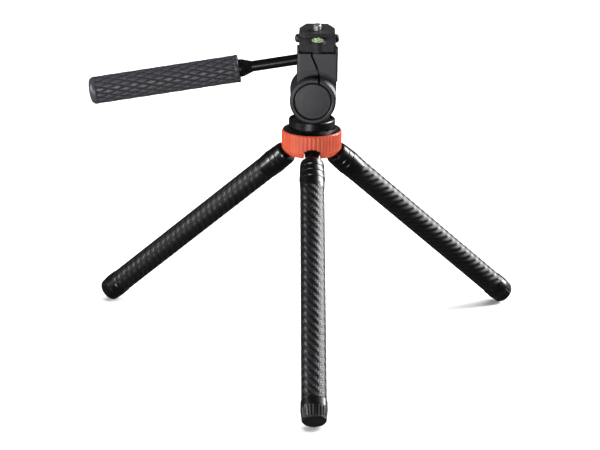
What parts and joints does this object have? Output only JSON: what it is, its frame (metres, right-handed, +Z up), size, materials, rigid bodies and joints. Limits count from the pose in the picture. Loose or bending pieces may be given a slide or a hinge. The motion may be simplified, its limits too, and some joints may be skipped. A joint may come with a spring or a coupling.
{
  "type": "tabletop tripod",
  "caption": "Tabletop tripod with folding twill-pattern legs, ribbed collar, twist-lock handle, pan-tilt head and quick-release camera plate.",
  "frame": {"origin": "middle of the bounding box on the surface that the tripod stands on; the pan axis stands at x = 0.54 mm, y = 49.61 mm", "axes": "+Z up along the pan axis, +X the way a camera on the plate looks (the handle points to -X), -Y towards the front leg"},
  "size_m": [0.3682, 0.3208, 0.2736],
  "materials": {
    "black_cast": "satin black powder coat",
    "orange_plastic": "satin red-orange moulded plastic",
    "gloss_black": "glossy black",
    "grey_plastic": "satin dark grey moulded plastic",
    "carbon_look": "black twill-pattern film, glossy",
    "grip_rubber": "dark grey moulded rubber with lozenge relief",
    "sole_rubber": "matt black rubber",
    "pad_rubber": "matt dark grey rubber",
    "steel": "plain steel",
    "chrome": "bright plated",
    "brass": "plain brass",
    "nylon": "natural nylon",
    "level_green": "pale green fluid",
    "level_clear": "clear acrylic"
  },
  "bodies": {
    "hub": {"hub_core": "black_cast", "hub_collar": "orange_plastic", "hub_flange": "gloss_black", "hub_plug": "grey_plastic", "friction_washer": "nylon", "leg_hinge_pins": "steel", "hub_screws": "steel"},
    "pan": {"pan_disc": "gloss_black", "tilt_drum": "black_cast", "drum_cap_front": "grey_plastic", "drum_cap_rear": "grey_plastic", "pan_bolt": "steel", "pan_spring_washer": "steel", "neck_screws": "steel"},
    "tilt": {"tilt_housing": "grey_plastic", "clamp_nut": "brass", "flip_pin": "steel", "thrust_washer": "nylon"},
    "handle": {"handle_shaft": "gloss_black", "handle_ferrule": "gloss_black", "handle_grip": "grip_rubber", "grip_end_cap": "grip_rubber"},
    "platform_body": {"platform": "grey_plastic", "level_cup": "grey_plastic", "level_fluid": "level_green", "level_bubble": "level_clear", "level_glass": "level_clear", "button_spring_left": "steel", "button_spring_right": "steel"},
    "plate": {"quick_plate": "grey_plastic", "plate_pad": "pad_rubber", "screw_clip": "steel"},
    "camera_screw_body": {"camera_screw": "chrome"},
    "button_left": {"release_button_left": "grey_plastic"},
    "button_right": {"release_button_right": "grey_plastic"},
    "leg_front": {"leg_front_knuckle": "black_cast", "leg_front_shoulder": "gloss_black", "leg_front_tube": "carbon_look", "leg_front_ferrule": "gloss_black", "leg_front_foot_cap": "gloss_black", "leg_front_foot_sole": "sole_rubber"},
    "leg_right": {"leg_right_knuckle": "black_cast", "leg_right_shoulder": "gloss_black", "leg_right_tube": "carbon_look", "leg_right_ferrule": "gloss_black", "leg_right_foot_cap": "gloss_black", "leg_right_foot_sole": "sole_rubber"},
    "leg_left": {"leg_left_knuckle": "black_cast", "leg_left_shoulder": "gloss_black", "leg_left_tube": "carbon_look", "leg_left_ferrule": "gloss_black", "leg_left_foot_cap": "gloss_black", "leg_left_foot_sole": "sole_rubber"}
  },
  "joints": [
    {"name": "leg_front_fold", "type": "hinge", "parent": "hub", "child": "leg_front", "pos_m": [0.00054, 0.03611, 0.17075], "axis": [1, 0, 0], "range_deg": [0, 49.3]},
    {"name": "leg_right_fold", "type": "hinge", "parent": "hub", "child": "leg_right", "pos_m": [0.01223, 0.05636, 0.17075], "axis": [-0.5, 0.866, 0], "range_deg": [0, 49.3]},
    {"name": "leg_left_fold", "type": "hinge", "parent": "hub", "child": "leg_left", "pos_m": [-0.01115, 0.05636, 0.17075], "axis": [-0.5, -0.866, 0], "range_deg": [0, 49.3]},
    {"name": "pan", "type": "hinge", "parent": "hub", "child": "pan", "pos_m": [0.00054, 0.04961, 0.1877], "axis": [0, 0, 1], "continuous": true},
    {"name": "tilt", "type": "hinge", "parent": "pan", "child": "tilt", "pos_m": [0.00054, 0.04961, 0.214], "axis": [0, 1, 0], "range_deg": [-30, 70]},
    {"name": "handle_twist", "type": "hinge", "parent": "tilt", "child": "handle", "pos_m": [-0.01236, 0.04961, 0.2441], "axis": [-0.9866, 0, -0.1633], "range_deg": [0, 270]},
    {"name": "platform_flip", "type": "hinge", "parent": "tilt", "child": "platform_body", "pos_m": [0.00054, 0.03661, 0.256], "axis": [1, 0, 0], "range_deg": [-11.5, 78.5]},
    {"name": "plate_lift", "type": "slide", "parent": "platform_body", "child": "plate", "axis": [0, -0.1994, 0.9799], "range_m": [0, 0.02]},
    {"name": "camera_screw_turn", "type": "hinge", "parent": "plate", "child": "camera_screw_body", "pos_m": [0.00394, 0.05414, 0.26464], "axis": [0, -0.1994, 0.9799], "continuous": true},
    {"name": "button_left_press", "type": "slide", "parent": "platform_body", "child": "button_left", "axis": [1, 0, 0], "range_m": [0, 0.0015], "stiffness_N_per_m": 600, "springref_m": -0.002, "deforming": ["button_spring_left"]},
    {"name": "button_right_press", "type": "slide", "parent": "platform_body", "child": "button_right", "axis": [-1, 0, 0], "range_m": [0, 0.0015], "stiffness_N_per_m": 600, "springref_m": -0.002, "deforming": ["button_spring_right"]}
  ]
}
